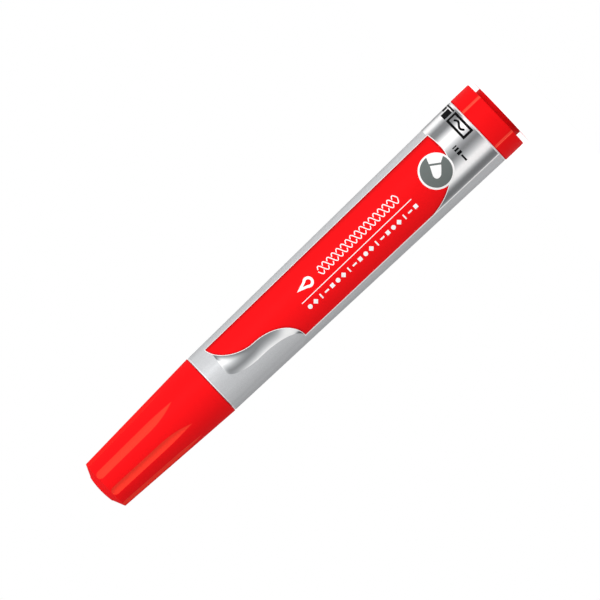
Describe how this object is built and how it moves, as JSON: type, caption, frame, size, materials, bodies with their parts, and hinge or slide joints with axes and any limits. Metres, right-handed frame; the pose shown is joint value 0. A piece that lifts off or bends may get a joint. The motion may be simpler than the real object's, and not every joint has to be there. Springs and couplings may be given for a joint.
{
  "type": "whiteboard marker",
  "caption": "Round tapered dry-erase marker with a fluted pull-off cap, bullet nib, fibre ink reservoir and a grooved end plug.",
  "frame": {"origin": "centre of the raised disc on the end plug's rear face, the lowest point of the standing marker", "axes": "+Z along the marker's axis towards the cap, -Y out of the middle of the label, +X towards the label's edge where the red panel reaches furthest"},
  "size_m": [0.019, 0.019, 0.13],
  "materials": {
    "barrel_plastic": "satin",
    "red_plastic": "gloss",
    "red_print": "gloss",
    "silver_foil": "polished",
    "natural_plastic": "matt",
    "clear_film": "gloss",
    "inked_fibre": "felt",
    "white_print": "satin ink",
    "grey_print": "satin ink",
    "black_print": "satin ink"
  },
  "bodies": {
    "marker_body": {"barrel": "barrel_plastic", "end_plug": "red_plastic", "nose_section": "barrel_plastic", "nib": "inked_fibre", "reservoir_core": "inked_fibre", "reservoir_wrap": "clear_film", "label_red_panel": "red_print", "label_silver_swoosh": "silver_foil", "label_silver_band": "silver_foil"},
    "cap_inner": {"cap_liner": "natural_plastic"},
    "cap": {"cap_shell": "red_plastic"}
  },
  "joints": [
    {"name": "cap_pull", "type": "slide", "parent": "marker_body", "child": "cap_inner", "axis": [0, 0, 1], "range_m": [0, 0.04]},
    {"name": "cap_twist", "type": "hinge", "parent": "cap_inner", "child": "cap", "pos_m": [0, 0, 0.11], "axis": [0, 0, 1], "continuous": true}
  ]
}
